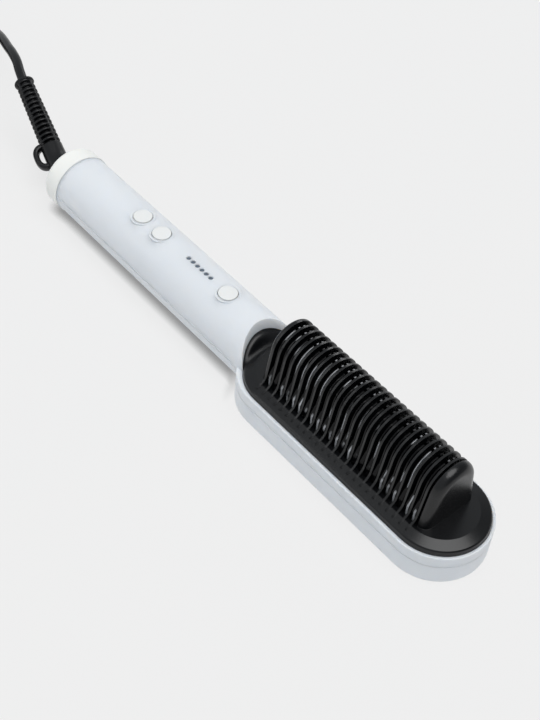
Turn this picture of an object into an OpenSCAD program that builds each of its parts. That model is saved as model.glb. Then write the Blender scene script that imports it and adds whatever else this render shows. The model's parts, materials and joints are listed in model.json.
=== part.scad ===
// Heated straightening comb with a swivel mains lead.
// Millimetres. +X runs from the lead end to the tip of the head, +Z up with the
// comb side up, origin at the centre of the footprint on the surface it lies on.

/* [Overall] */
// length of the head from its rear end to the tip
head_l = 136.75; // [110:0.25:160]
// width of the head
head_w = 45.5; // [40:0.5:54]
// height of the head rim above the back
head_h = 16.5; // [15:0.1:20]
// length of the handle from the end cap to the head
handle_l = 131.4; // [118:0.2:170]

/* [Handle shell] */
// handle diameter where it meets the head
neck_d = 30.6; // [28:0.1:34]
// handle diameter at the end cap
tail_d = 29.7; // [28:0.1:34]
// height of the underside of the handle above the back
handle_lift = 0.2; // [0:0.1:2]
// wall of the handle
handle_wall = 2; // [1.6:0.1:2.4]
// width of the fine groove along the joint of the two shells
seam_w = 0.35; // [0.1:0.05:0.6]
// depth of the groove along the joint of the two shells
seam_d = 0.4; // [0.1:0.05:0.8]

/* [Head shell] */
// wall of the head tray
head_wall = 2.2; // [1.6:0.1:2.6]
// floor of the head tray
floor_t = 2; // [1.4:0.1:2.6]
// radius along the lower edge of the head
lower_fillet = 2; // [0.5:0.25:4]
// radius along the rim of the head
rim_fillet = 0.5; // [0.2:0.1:0.6]
// width of the rim left round the comb guard
rim_w = 1.35; // [1.2:0.05:2]
// how far the round heel of the comb guard stands in from that of the head
heel_setback = 2; // [1:0.1:3]
// flare of the recess the comb guard stands in, per mm of height
scoop_slope = 0.165; // [0.1:0.005:0.25]
// height of the upper shell below the rim
upper_skirt = 5.7; // [4:0.1:7]

/* [End cap] */
// how much wider the end cap is than the handle end
cap_step = 0.9; // [0.4:0.1:1.6]
// length of the end cap
cap_l = 10.6; // [9:0.1:13]
// wall of the end cap
cap_wall = 2.2; // [1.6:0.1:2.4]
// radius on the rear edge of the cap
cap_fillet = 3; // [1:0.25:3.5]
// gap between the collar of the lead and its opening
exit_gap = 0.85; // [0.4:0.05:1.2]

/* [Comb guard] */
// spacing of the ribs
rib_pitch = 3.784; // [3.5:0.001:4.2]
// distance of the first rib from the rear end of the head
first_rib_at = 22.55; // [21.6:0.05:26]
// thickness of a rib
rib_t = 1; // [0.9:0.05:1.2]
// thickness of the first rib
first_rib_t = 2.5; // [2:0.1:3]
// gap between the last rib and the end lobe
lobe_gap = 1.1; // [0.8:0.1:1.6]
// length of the rounded end lobe
lobe_l = 4.4; // [4.2:0.1:5]
// rounding radius of the end lobe
lobe_r = 4; // [3:0.1:4.1]
// radius of the crest of a rib
crest_r = 11.3; // [10:0.1:12]
// height of the ribs above the deck
comb_h = 27.3; // [22:0.1:32]
// widening of a rib per mm of height
rib_slope = 0.17; // [0.1:0.01:0.2]
// radius that spreads a rib out on the deck
foot_r = 5.2; // [3:0.1:5.5]
// height of the deck of the guard above the rim
deck_rise = 3.7; // [3.4:0.1:4.5]
// thickness of the deck
deck_t = 2; // [1.5:0.1:2.2]
// radius at which the edge of the deck starts to fall
deck_flat_r = 16; // [15.4:0.1:17]
// fall of the sloping band around the deck
band_drop = 1.4; // [0.6:0.1:1.8]
// height of the raised heel of the guard above the rim
heel_rise = 9.1; // [6:0.1:11]
// fall of the top of the heel per mm towards the tip
heel_slope = 1.12; // [0.9:0.02:1.3]

/* [Heated blades] */
// thickness of the plate that carries the blades
plate_t = 3.5; // [2.5:0.1:4]
// width of the plate
plate_w = 30; // [26:0.5:32]
// thickness of the body of a blade
blade_t = 1.8; // [1.4:0.05:1.9]
// radius of the top of the body of a blade
blade_r = 7.8; // [7:0.1:8.2]
// widening of the body of a blade per mm of height
blade_slope = 0.45; // [0.35:0.01:0.45]
// how far the body of a blade stays below the crest of the ribs
blade_drop = 4.3; // [3.8:0.1:6]
// half width of the foot of a blade
blade_foot = 13.4; // [13.2:0.1:14]
// thickness of the notched fin on a blade
fin_t = 0.8; // [0.6:0.05:1]
// how far the fin stays inside the rib outline
fin_inset = 1.3; // [1:0.1:2]
// width of the notches in the fin
notch_w = 1.4; // [0.8:0.1:1.6]
// spacing of the notches
notch_pitch = 2.9; // [2.2:0.1:3]
// number of notches in the fin
notch_count = 3; // [1:1:3]
// distance of the first notch from the middle plane
notch_at = -0.6; // [-1.5:0.1:0.5]
// gap between a blade and its slot in the deck
slot_gap = 0.2; // [0.1:0.05:0.3]

/* [Heating parts] */
// length of a heater
heater_l = 32; // [24:0.5:40]
// width of a heater
heater_w = 16; // [12:0.5:20]
// thickness of a heater
heater_t = 2.5; // [2:0.1:3]
// thickness of the insulating sheet
mica_t = 0.4; // [0.2:0.05:0.6]
// thickness of the clamp
clamp_t = 1; // [0.8:0.1:1.4]
// width of the clamp
clamp_w = 24; // [22:0.5:28]
// diameter of the thermal fuse
fuse_d = 4; // [3:0.1:4.4]
// length of the thermal fuse
fuse_l = 11; // [8:0.5:14]
// diameter of the thermistor
thermistor_d = 2.2; // [1.6:0.1:3]

/* [Buttons and lights] */
// distance of the minus button behind the head
minus_at = 82.7; // [81.5:0.1:86]
// distance of the plus button behind the head
plus_at = 68.5; // [66:0.1:69.5]
// distance of the power button behind the head
power_at = 20.8; // [18:0.1:22]
// diameter of a button cap
button_d = 8.8; // [7.6:0.1:9]
// gap round a button cap
button_gap = 0.3; // [0.25:0.05:0.4]
// diameter of the flat land round a button
land_d = 11.6; // [10.6:0.1:12]
// height a button stands above its land
button_proud = 0.45; // [0.41:0.01:0.8]
// travel of a button
button_travel = 0.4; // [0.2:0.05:0.4]
// shell left above the flange of a button
skin_t = 2.1; // [1.8:0.1:2.4]
// number of indicator lights
light_count = 6; // [4:1:6]
// spacing of the indicator lights
light_pitch = 3.14; // [3:0.02:3.2]
// diameter of an indicator light opening
light_d = 2.4; // [2.3:0.1:2.6]
// distance of the rearmost light behind the head
light_at = 48.5; // [47.5:0.1:49.5]

/* [Control parts] */
// depth of the circuit board below the top of the handle
board_drop = 8.4; // [8.2:0.1:9]
// thickness of the circuit board
board_t = 1.6; // [1:0.1:2]
// width of the circuit board
board_w = 19; // [16:0.5:20]
// width of a push switch
switch_w = 6; // [5:0.1:6.2]
// height of the body of a push switch
switch_h = 3.5; // [3:0.1:3.6]
// diameter of the plunger of a push switch
plunger_d = 3.4; // [3:0.1:3.6]
// height of the plunger of a push switch
plunger_h = 1; // [0.8:0.1:1.1]
// diameter of a screw
screw_d = 2.2; // [1.8:0.1:2.4]
// length of the board screws
board_screw_l = 6.6; // [5.5:0.1:7]
// how far the tail screw reaches above the seam
tail_screw_reach = 8.5; // [7:0.1:9]
// diameter of the head of a screw
screw_head_d = 4.6; // [4:0.1:4.8]

/* [Swivel] */
// diameter of the swivel journal
journal_d = 9; // [8:0.1:9.4]
// radial clearance of the swivel journal in its bearing
journal_gap = 0.05; // [0.02:0.01:0.1]
// diameter of the swivel housing
housing_d = 19; // [18.4:0.1:19.6]
// length of the swivel housing
housing_l = 23.5; // [22:0.1:24]
// wall of the swivel housing
housing_wall = 1.3; // [1:0.1:1.6]
// diameter of the slip rings
ring_d = 10.4; // [10:0.1:10.8]
// width of a slip ring
ring_w = 2.5; // [1.5:0.1:3]

/* [Lead] */
// diameter of the mains lead
cord_d = 5; // [4:0.1:5.5]
// diameter of the collar of the strain relief
collar_d = 10.9; // [10:0.1:12]
// diameter of the slotted part next to the collar
relief_d = 10; // [9:0.1:10.6]
// diameter of the slotted part at its free end
relief_tip_d = 9.4; // [8.5:0.1:10]
// length of the strain relief beyond its bend
relief_l = 47.2; // [47:0.1:50]
// number of rows of slots
slot_rows = 14; // [8:1:14]
// spacing of the rows of slots
slot_pitch = 2.85; // [2.4:0.05:2.85]
// length of a slot along the lead
slot_l = 1.3; // [1:0.1:1.6]
// length of the hanging loop
loop_l = 16; // [12:0.5:18]
// reach of the hanging loop beside the collar
loop_reach = 5; // [4:0.5:7]
// thickness of the hanging loop
loop_t = 2.6; // [2:0.1:3.5]
// length of the sleeve of the plug
plug_sleeve_l = 14; // [10:0.5:18]
// length of the body of the plug
plug_l = 24; // [20:0.5:30]
// thickness of the plug
plug_t = 12; // [10:0.1:12.2]
// distance between the centres of the round sides of the plug
plug_span = 16; // [12:0.5:18]
// diameter of a plug pin
pin_d = 4; // [3.8:0.1:4.8]
// length of a plug pin
pin_l = 19; // [15:0.5:19]
// spacing of the plug pins
pin_pitch = 18; // [16:0.2:19]

/* [Hidden] */
$fn = 64;
e = 0.01;

neck_in = 0.75;
total_l = cap_l + handle_l + head_l - neck_in;
tail_x = -total_l / 2;
tip_x = total_l / 2;
cap_x = tail_x + cap_l;
neck_x = cap_x + handle_l;
head_x0 = tip_x - head_l;
head_r = head_w / 2;
tip_cx = tip_x - head_r;
rear_cx = head_x0 + head_r;
guard_cx = rear_cx + heel_setback;
far = total_l;

axis_z = neck_d / 2 + handle_lift;
cone_slope = (neck_d - tail_d) / 2 / handle_l;
tail_flare_l = 1.5;
tail_flare = 0.35;
function handle_r(x) = tail_d / 2 + (x - cap_x) * cone_slope;
function handle_top(x) = axis_z + handle_r(x);
function inner_top(x) = handle_top(x) - handle_wall;

recess_r = head_r - rim_w;
function scoop_r(z) = recess_r + scoop_slope * (z - head_h);
guard_gap = 0.1;
guard_r = recess_r - guard_gap;
guard_wall = 2.2;
guard_in_r = guard_r - guard_wall;
ledge_z = head_h - 2;
bulkhead_t = 2;
head_cav_r = head_r - head_wall;
seam_head_z = head_h - upper_skirt;

deck_z = head_h + deck_rise;
crest_z = deck_z + comb_h;
crest_cz = crest_z - crest_r;
side_a = atan(rib_slope);
rib_base_z = deck_z - deck_t + 0.4;
foot_z = deck_z - 0.3;
foot_cz = foot_z + foot_r;
function side_y(r, z) = r / cos(side_a) + rib_slope * (crest_cz - z);
foot_cy = side_y(crest_r, foot_cz) + foot_r / cos(side_a);
rib_x0 = head_x0 + first_rib_at;
rib_count = floor((tip_cx - rib_x0 - 0.5) / rib_pitch) + 1;
last_rib_x = rib_x0 + (rib_count - 1) * rib_pitch;
heel_x = guard_cx - recess_r - 1.4;
lobe_x0 = last_rib_x + rib_t / 2 + lobe_gap;
slot_w = blade_t + 2 * slot_gap;
slot_hw = blade_foot + 2 * slot_gap;
blade_cz = crest_z - blade_drop - blade_r;
blade_a = atan(blade_slope);
shoulder_z = deck_z + 5.3;

plate_z1 = ledge_z + 0.5;
plate_z0 = plate_z1 - plate_t;
plate_x0 = rib_x0 - 7;
plate_x1 = last_rib_x + 7;
plate_l = plate_x1 - plate_x0;
fix_in = 3.1;
fix_x = [plate_x0 + fix_in, plate_x1 - fix_in];
fix_y = 9;
foot_l = 2 * fix_in;
mica_z = plate_z0 - heater_t - mica_t;
clamp_z = mica_z - clamp_t;

screw_r = screw_d / 2;
pilot_r = screw_r + 0.02;
screw_hole_r = screw_r + 0.2;
head_hole_r = screw_head_d / 2 + 0.3;
screw_head_h = 1.6;
boss_r = screw_r + 1.8;
head_screw_r = head_cav_r - 2.55;
head_screw_c = head_screw_r * cos(45);
head_screws = [
  [rear_cx - head_screw_c, head_screw_c], [rear_cx - head_screw_c, -head_screw_c],
  [tip_cx + head_screw_c, head_screw_c], [tip_cx + head_screw_c, -head_screw_c]
];
head_boss_z = ledge_z - 6.5;
head_seat_z = floor_t + 1;

minus_x = neck_x - minus_at;
plus_x = neck_x - plus_at;
power_x = neck_x - power_at;
light_x0 = neck_x - light_at;
button_xs = [minus_x, plus_x, power_x];
flange_r = button_d / 2 + 1.2;
pocket_r = flange_r + 0.4;
function pocket_z(x) = handle_top(x) - skin_t;
stem_gap = 0.45;
flange_t = 0.85;

board_z1 = handle_top(minus_x) - board_drop;
board_z0 = board_z1 - board_t;
board_x0 = minus_x - switch_w / 2 - 2;
board_x1 = neck_x - 2.5;
board_fix = [plus_x + flange_r + boss_r + 0.4, board_x1 - boss_r - 2];
guide_t = 1.1;
guide_z1 = inner_top(light_x0) - 0.5;
guide_z0 = guide_z1 - guide_t;

housing_x0 = tail_x + 4.5;
housing_x1 = housing_x0 + housing_l;
housing_r = housing_d / 2;
housing_in_r = housing_r - housing_wall;
housing_end = 3;
web_t = 1.5;
web_gap = 0.05;
web_x = [cap_x + 5.9, cap_x + 13.9];
web_r = housing_r + web_gap;
ring_x = [housing_x0 + 7.5, housing_x0 + 14.5];
tail_screw_x = housing_x1 + boss_r + 1;
tail_seat_z = axis_z - handle_r(tail_screw_x) + 3.4;

relief_x0 = tail_x + 3;
bend_x = tail_x - 6;
bend_r = 20;
bend_a = 21.6;
bend_dir = 49.3;
relief_roll = 211;
collar_end = 6;
relief_core_r = cord_d / 2 + 0.8;

coil_x = -306;
coil_y = 2.4;
coil_z = 3.5;
coil_step = 4.8;
coil_rings = [27.6, 32.4];
coil_rows = 4;

// ---- shared shapes ----

// cylinder or cone along +X
module xcyl(x0, x1, r0, r1) {
  translate([x0, 0, 0])
    rotate([0, 90, 0])
      cylinder(h = x1 - x0, r1 = r0, r2 = r1);
}

// upright prism with two round ends
module stadium(x0, x1, r, z0, z1) {
  translate([x0, 0, z0])
    cylinder(r = r, h = z1 - z0);
  translate([x1, 0, z0])
    cylinder(r = r, h = z1 - z0);
  translate([x0, -r, z0])
    cube([x1 - x0, 2 * r, z1 - z0]);
}

// half section carried round a shape with two round ends
module around(x0, x1) {
  translate([x0, 0, 0])
    rotate([0, 0, 90])
      rotate_extrude(angle = 180)
        children();
  translate([x1, 0, 0])
    rotate([0, 0, -90])
      rotate_extrude(angle = 180)
        children();
  for (m = [0, 1])
    mirror([0, m, 0])
      translate([x0, 0, 0])
        rotate([90, 0, 90])
          linear_extrude(x1 - x0)
            children();
}

// shape drawn in the XZ plane carried across the full width
module across(w) {
  translate([0, w, 0])
    rotate([90, 0, 0])
      linear_extrude(2 * w)
        children();
}

// shape drawn in the YZ plane carried along X
module along(x0, l) {
  translate([x0, 0, 0])
    rotate([90, 0, 90])
      linear_extrude(l)
        children();
}

// screw with its head below: seat is the height of the underside of the head
module screw(x, y, seat, tip) {
  translate([x, y, seat - screw_head_h])
    cylinder(d = screw_head_d, h = screw_head_h);
  translate([x, y, seat - e])
    cylinder(r = screw_r, h = tip - seat + e);
}

// ---- outer shell ----

module head_half(d) {
  f = lower_fillet;
  g = rim_fillet;
  r = head_r - d;
  translate([0, d])
    square([r - f, head_h - d]);
  translate([0, f])
    square([r, head_h - f - g]);
  intersection() {
    translate([r - f, f])
      circle(f - d);
    square([r, f]);
  }
  translate([r - g, head_h - g])
    circle(g);
  translate([0, f + 1])
    square([r - g, head_h - f - 1]);
}

module head_solid(d) {
  around(rear_cx, tip_cx)
    head_half(d);
}

module handle_solid(d) {
  difference() {
    translate([0, 0, axis_z]) {
      xcyl(cap_x, guard_cx, handle_r(cap_x) - d, handle_r(guard_cx) - d);
      xcyl(cap_x, cap_x + tail_flare_l, handle_r(cap_x) + tail_flare - d,
           handle_r(cap_x + tail_flare_l) - d);
    }
    translate([guard_cx, 0, head_h - d])
      cylinder(h = neck_d, r1 = scoop_r(head_h) + d,
               r2 = scoop_r(head_h + neck_d) + d);
  }
}

module outer_solid(d) {
  head_solid(d);
  handle_solid(d);
}

module button_lands() {
  for (x = button_xs)
    translate([x, 0, board_z1 + 2])
      cylinder(d = land_d, h = handle_top(x) - board_z1 - 2);
}

module handle_cavity() {
  difference() {
    translate([0, 0, axis_z])
      xcyl(cap_x - 1, guard_cx, handle_r(cap_x) - handle_wall,
           handle_r(guard_cx) - handle_wall);
    translate([guard_cx, 0, axis_z])
      cylinder(h = neck_d, r1 = scoop_r(axis_z) + bulkhead_t,
               r2 = scoop_r(axis_z + neck_d) + bulkhead_t);
  }
}

module cavity() {
  handle_cavity();
  stadium(rear_cx, tip_cx, head_cav_r, floor_t, ledge_z);
  stadium(guard_cx, tip_cx, recess_r, ledge_z - e, head_h + 5);
}

module below_seam(dz) {
  polygon([
    [-far, dz + axis_z], [neck_x + 0.5, dz + axis_z],
    [neck_x + 11, dz + seam_head_z], [far, dz + seam_head_z],
    [far, -head_h], [-far, -head_h]
  ]);
}

module seam_groove() {
  difference() {
    across(head_w)
      difference() {
        below_seam(seam_w);
        below_seam(0);
      }
    outer_solid(seam_d);
  }
}

// rings inside the handle that carry the swivel housing
module webs() {
  for (x = web_x)
    translate([0, 0, axis_z])
      difference() {
        xcyl(x, x + web_t, handle_r(x) - 1, handle_r(x) - 1);
        xcyl(x - 1, x + web_t + 1, web_r, web_r);
      }
}

// post hanging from the top of the handle
module hanging_post(x, z0, r) {
  translate([x, 0, z0])
    cylinder(r = r, h = inner_top(x) + 0.7 - z0);
}

module upper_shell() {
  color([0.84, 0.88, 0.91])
  difference() {
    union() {
      difference() {
        union() {
          outer_solid(0);
          button_lands();
        }
        cavity();
        for (x = button_xs)
          translate([x, 0, board_z1])
            cylinder(r = pocket_r, h = pocket_z(x) - board_z1);
        seam_groove();
        across(head_w)
          below_seam(0);
      }
      intersection() {
        webs();
        translate([-far, -head_w, axis_z])
          cube([far, 2 * head_w, neck_d]);
      }
      hanging_post(tail_screw_x, axis_z, boss_r);
      for (x = board_fix)
        hanging_post(x, board_z1, boss_r - 0.4);
      for (p = head_screws)
        translate([p[0], p[1], 0]) {
          translate([0, 0, seam_head_z])
            cylinder(r = boss_r, h = ledge_z - 0.1 - seam_head_z);
          translate([0, 0, head_boss_z])
            cylinder(r = boss_r - 0.45, h = seam_head_z + 0.5 - head_boss_z);
        }
    }
    for (x = button_xs)
      translate([x, 0, board_z1])
        cylinder(r = button_d / 2 + button_gap, h = neck_d);
    for (i = [0 : light_count - 1])
      translate([light_x0 + i * light_pitch, 0, guide_z0])
        cylinder(d = light_d, h = neck_d);
    translate([tail_screw_x, 0, axis_z - 1])
      cylinder(r = pilot_r, h = 10);
    for (x = board_fix)
      translate([x, 0, board_z1 - 1])
        cylinder(r = pilot_r, h = 6.2);
    for (p = head_screws)
      translate([p[0], p[1], head_boss_z - 1])
        cylinder(r = pilot_r, h = ledge_z - 0.9 - head_boss_z);
  }
}

module lower_shell() {
  tail_base = axis_z - handle_r(tail_screw_x) + 0.9;
  color([0.82, 0.86, 0.90])
  difference() {
    union() {
      intersection() {
        difference() {
          outer_solid(0);
          cavity();
        }
        across(head_w)
          below_seam(0);
      }
      intersection() {
        webs();
        translate([-far, -head_w, axis_z - neck_d])
          cube([far, 2 * head_w, neck_d]);
      }
      translate([tail_screw_x, 0, tail_base])
        cylinder(r = head_hole_r + 0.8, h = axis_z - tail_base);
      for (p = head_screws)
        translate([p[0], p[1], floor_t / 2])
          cylinder(r = boss_r, h = head_boss_z - floor_t / 2);
    }
    translate([tail_screw_x, 0, tail_seat_z - 10])
      cylinder(r = head_hole_r, h = 10);
    translate([tail_screw_x, 0, 0])
      cylinder(r = screw_hole_r, h = neck_d);
    for (p = head_screws) {
      translate([p[0], p[1], head_seat_z - 10])
        cylinder(r = head_hole_r, h = 10);
      translate([p[0], p[1], 0])
        cylinder(r = screw_hole_r, h = neck_d);
    }
  }
}

module end_cap() {
  r = tail_d / 2 + cap_step / 2;
  f = cap_fillet;
  ring_in = housing_r + 1.5;
  color([0.93, 0.93, 0.91])
  translate([cap_x, 0, axis_z])
    rotate([0, -90, 0])
      rotate_extrude()
        difference() {
          union() {
            translate([ring_in, -5])
              square([handle_r(cap_x) - handle_wall - 0.1 - ring_in, 6]);
            square([r, cap_l - f]);
            square([r - f, cap_l]);
            intersection() {
              translate([r - f, cap_l - f])
                circle(f);
              square([r, cap_l]);
            }
          }
          translate([0, -6])
            square([ring_in, 8]);
          translate([0, 2 - e])
            square([r - cap_wall, cap_l - 4.5]);
          translate([0, -6])
            square([collar_d / 2 + exit_gap, 2 * cap_l]);
        }
}

// ---- comb guard ----

module guard_half() {
  polygon([
    [0, deck_z - deck_t], [deck_flat_r, deck_z - deck_t],
    [guard_in_r, deck_z - deck_t - band_drop / 2], [guard_in_r, ledge_z],
    [guard_r, ledge_z], [guard_r, head_h], [guard_r - 0.4, deck_z - band_drop - 0.5],
    [guard_r - 0.9, deck_z - band_drop], [deck_flat_r, deck_z], [0, deck_z]
  ]);
}

// outline of a rib, seen along the body
module rib_outline(inset) {
  r = crest_r - inset;
  y0 = side_y(r, rib_base_z);
  translate([0, crest_cz])
    circle(r);
  polygon([
    [-y0, rib_base_z], [y0, rib_base_z],
    [r * cos(side_a), crest_cz + r * sin(side_a)],
    [-r * cos(side_a), crest_cz + r * sin(side_a)]
  ]);
}

// curved spread of a rib on the deck
module rib_feet() {
  ty = foot_cy - foot_r * cos(side_a);
  tz = foot_cz - foot_r * sin(side_a);
  for (m = [0, 1])
    mirror([m, 0])
      difference() {
        polygon([
          [10, rib_base_z], [foot_cy, rib_base_z], [foot_cy, foot_cz],
          [ty, tz], [10, tz]
        ]);
        translate([foot_cy, foot_cz])
          circle(foot_r);
      }
}

// what a rounding takes off an edge: x inward from the outline, y along the body
module corner(l, r) {
  difference() {
    translate([-1, l - r])
      square([r + 1, r + 1]);
    translate([r, l - r])
      circle(r);
  }
}

// rib with its outer edge facing +X rounded
module rounded_rib(x0, l, r) {
  side_l = comb_h;
  ty = crest_r * cos(side_a) + side_l * sin(side_a);
  tz = crest_cz + crest_r * sin(side_a) - side_l * cos(side_a);
  difference() {
    along(x0, l)
      rib_outline(0);
    translate([x0, 0, crest_cz])
      rotate([90 + side_a, 0, 0])
        rotate([0, 90, 0])
          rotate_extrude(angle = 180 - 2 * side_a)
            translate([crest_r, 0])
              mirror([1, 0])
                corner(l, r);
    for (m = [0, 1])
      mirror([0, m, 0])
        translate([x0, ty, tz])
          rotate([side_a, 0, 0])
            rotate([0, 0, -90])
              linear_extrude(side_l + 0.5)
                corner(l, r);
  }
}

// raised heel of the guard against the end of the handle
module heel() {
  h = heel_rise + 2;
  w = 1;
  f = 4;
  intersection() {
    difference() {
      translate([guard_cx, 0, head_h - e])
        cylinder(h = h, r1 = guard_r, r2 = guard_r + scoop_slope * h);
      translate([guard_cx, 0, head_h - 1])
        cylinder(h = h + 2, r = guard_r - w);
    }
    below_heel();
  }
  intersection() {
    translate([guard_cx, 0, 0])
      rotate_extrude()
        difference() {
          translate([guard_r - w - f, deck_z - 1.5])
            square([f + 0.3, 8]);
          translate([guard_r - w - f, deck_z + f])
            circle(f);
          translate([guard_r - w - f - 1, deck_z + f])
            square([f + 1, 6]);
        }
    below_heel();
  }
}

module below_heel() {
  d = 9.4;
  across(head_w)
    polygon([
      [heel_x - 5, ledge_z], [heel_x - 5, head_h + heel_rise + heel_slope * 5],
      [heel_x + d, head_h + heel_rise - heel_slope * d], [heel_x + d, ledge_z]
    ]);
}

module comb_guard() {
  color([0.09, 0.09, 0.10])
  difference() {
    union() {
      around(guard_cx, tip_cx)
        guard_half();
      heel();
      for (i = [1 : rib_count - 1])
        along(rib_x0 + i * rib_pitch - rib_t / 2, rib_t) {
          rib_outline(0);
          rib_feet();
        }
      translate([rib_x0 + rib_t / 2 - first_rib_t, 0, 0])
        mirror([1, 0, 0])
          rounded_rib(-first_rib_t, first_rib_t, 1.5);
      along(rib_x0 - rib_t / 2, rib_t)
        rib_feet();
      rounded_rib(lobe_x0, lobe_l, lobe_r);
      for (x = fix_x)
        for (m = [-1, 1])
          translate([x, m * fix_y, plate_z1])
            cylinder(r = boss_r - 0.3, h = deck_z - deck_t - plate_z1 + 0.5);
    }
    for (i = [0 : rib_count - 2])
      translate([rib_x0 + (i + 0.5) * rib_pitch - slot_w / 2, -slot_hw, ledge_z])
        cube([slot_w, 2 * slot_hw, deck_z - ledge_z + 1]);
    for (x = fix_x)
      for (m = [-1, 1])
        translate([x, m * fix_y, plate_z1 - 1])
          cylinder(r = pilot_r, h = deck_z - plate_z1 + 0.2);
  }
}

// ---- heating parts ----

module blade_body() {
  z0 = plate_z1 - 1;
  yt = blade_r * cos(blade_a);
  zt = blade_cz + blade_r * sin(blade_a);
  ys = min(yt + blade_slope * (zt - shoulder_z), blade_foot - 0.1);
  translate([0, blade_cz])
    circle(blade_r);
  polygon([
    [-blade_foot, z0], [blade_foot, z0], [blade_foot, shoulder_z - 0.8],
    [ys, shoulder_z], [yt, zt], [-yt, zt], [-ys, shoulder_z],
    [-blade_foot, shoulder_z - 0.8]
  ]);
}

module blade_fin() {
  difference() {
    rib_outline(fin_inset);
    for (i = [0 : notch_count - 1])
      translate([notch_at + i * notch_pitch - notch_w / 2, crest_z - blade_drop - 0.6])
        square([notch_w, blade_drop + 2]);
  }
}

module fixing_holes() {
  for (x = fix_x)
    for (m = [-1, 1])
      translate([x, m * fix_y, clamp_z - 5])
        cylinder(r = screw_hole_r, h = 20);
}

module heating_plate() {
  color([0.16, 0.16, 0.17])
  difference() {
    union() {
      translate([plate_x0, -plate_w / 2, plate_z0])
        cube([plate_l, plate_w, plate_t]);
      for (i = [0 : rib_count - 2])
        translate([rib_x0 + (i + 0.5) * rib_pitch, 0, 0]) {
          along(-blade_t / 2, blade_t)
            blade_body();
          along(-fin_t / 2, fin_t)
            blade_fin();
        }
    }
    fixing_holes();
  }
}

module ptc_heaters() {
  color([0.75, 0.72, 0.62])
  for (k = [0.26, 0.74])
    translate([plate_x0 + k * plate_l - heater_l / 2, -heater_w / 2,
               plate_z0 - heater_t])
      cube([heater_l, heater_w, heater_t]);
}

module mica_insulator() {
  x0 = plate_x0 + foot_l + clamp_t + 2;
  x1 = plate_x1 - foot_l - clamp_t - 2;
  color([0.72, 0.60, 0.38])
  translate([x0, -heater_w / 2 - 2, mica_z])
    cube([x1 - x0, heater_w + 4, mica_t]);
}

module heater_clamp() {
  xa = plate_x0;
  xb = plate_x1;
  zt = plate_z0;
  zb = clamp_z;
  t = clamp_t;
  color([0.66, 0.67, 0.68])
  difference() {
    across(clamp_w / 2)
      polygon([
        [xa, zt - t], [xa + foot_l, zt - t], [xa + foot_l, zb], [xb - foot_l, zb],
        [xb - foot_l, zt - t], [xb, zt - t], [xb, zt], [xb - foot_l - t, zt],
        [xb - foot_l - t, zb + t], [xa + foot_l + t, zb + t],
        [xa + foot_l + t, zt], [xa, zt]
      ]);
    fixing_holes();
  }
}

module thermal_fuse() {
  color([0.80, 0.80, 0.78])
  translate([plate_x0 + plate_l * 0.42, 0, clamp_z - fuse_d / 2 - 0.02])
    rotate([0, 90, 0])
      cylinder(d = fuse_d, h = fuse_l);
}

module thermistor() {
  color([0.55, 0.35, 0.20])
  translate([plate_x0 + plate_l * 0.7, -3, clamp_z - thermistor_d / 2 - 0.02])
    rotate([-90, 0, 0])
      cylinder(d = thermistor_d, h = 6);
}

module plate_screws() {
  color([0.70, 0.71, 0.72])
  for (x = fix_x)
    for (m = [-1, 1])
      screw(x, m * fix_y, plate_z0 - clamp_t, deck_z - 1.2);
}

// ---- control parts ----

module circuit_board() {
  color([0.10, 0.34, 0.20])
  difference() {
    translate([board_x0, -board_w / 2, board_z0])
      cube([board_x1 - board_x0, board_w, board_t]);
    for (x = board_fix)
      translate([x, 0, board_z0 - 1])
        cylinder(r = screw_hole_r, h = board_t + 2);
  }
}

module tact_switches() {
  color([0.30, 0.30, 0.31])
  for (x = button_xs)
    translate([x, 0, board_z1]) {
      translate([-switch_w / 2, -switch_w / 2, 0])
        cube([switch_w, switch_w, switch_h]);
      cylinder(d = plunger_d, h = switch_h + plunger_h);
    }
}

module indicator_leds() {
  color([0.90, 0.88, 0.70])
  for (i = [0 : light_count - 1])
    translate([light_x0 + i * light_pitch - 0.8, -0.6, board_z1])
      cube([1.6, 1.2, 0.7]);
}

module light_guide() {
  x0 = light_x0 - 2.7;
  x1 = light_x0 + (light_count - 1) * light_pitch + 2.8;
  color([0.46, 0.52, 0.58])
  union() {
    translate([x0, -2, guide_z0])
      cube([x1 - x0, 4, guide_t]);
    for (x = [x0, x1 - 1.2])
      translate([x, -2, board_z1])
        cube([1.2, 4, guide_z1 - board_z1 - 0.2]);
    for (i = [0 : light_count - 1])
      translate([light_x0 + i * light_pitch, 0, guide_z0])
        cylinder(d = light_d - 0.2, h = handle_top(light_x0) - 0.6 - guide_z0);
  }
}

module board_screws() {
  color([0.70, 0.71, 0.72])
  for (x = board_fix)
    screw(x, 0, board_z0, board_z0 + board_screw_l);
}

module shell_screws() {
  color([0.70, 0.71, 0.72])
  union() {
    screw(tail_screw_x, 0, tail_seat_z, axis_z + tail_screw_reach);
    for (p = head_screws)
      screw(p[0], p[1], head_seat_z, ledge_z - 2.2);
  }
}

module button(x) {
  top = handle_top(x) + button_proud;
  seat = pocket_z(x) - 0.05;
  stem_z = board_z1 + switch_h + plunger_h + stem_gap;
  rd = 0.4;
  translate([x, 0, 0])
    rotate_extrude()
      union() {
        translate([0, seat - flange_t])
          square([flange_r, flange_t]);
        translate([0, seat - flange_t])
          square([button_d / 2, top - rd - seat + flange_t]);
        translate([0, seat])
          square([button_d / 2 - rd, top - seat]);
        intersection() {
          translate([button_d / 2 - rd, top - rd])
            circle(rd);
          translate([0, seat])
            square([button_d, neck_d]);
        }
        translate([0, stem_z])
          square([2, seat - stem_z]);
      }
}

module minus_button() {
  color([0.93, 0.93, 0.91])
    button(minus_x);
}

module plus_button() {
  color([0.93, 0.93, 0.91])
    button(plus_x);
}

module power_button() {
  color([0.93, 0.93, 0.91])
    button(power_x);
}

// ---- swivel ----

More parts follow.
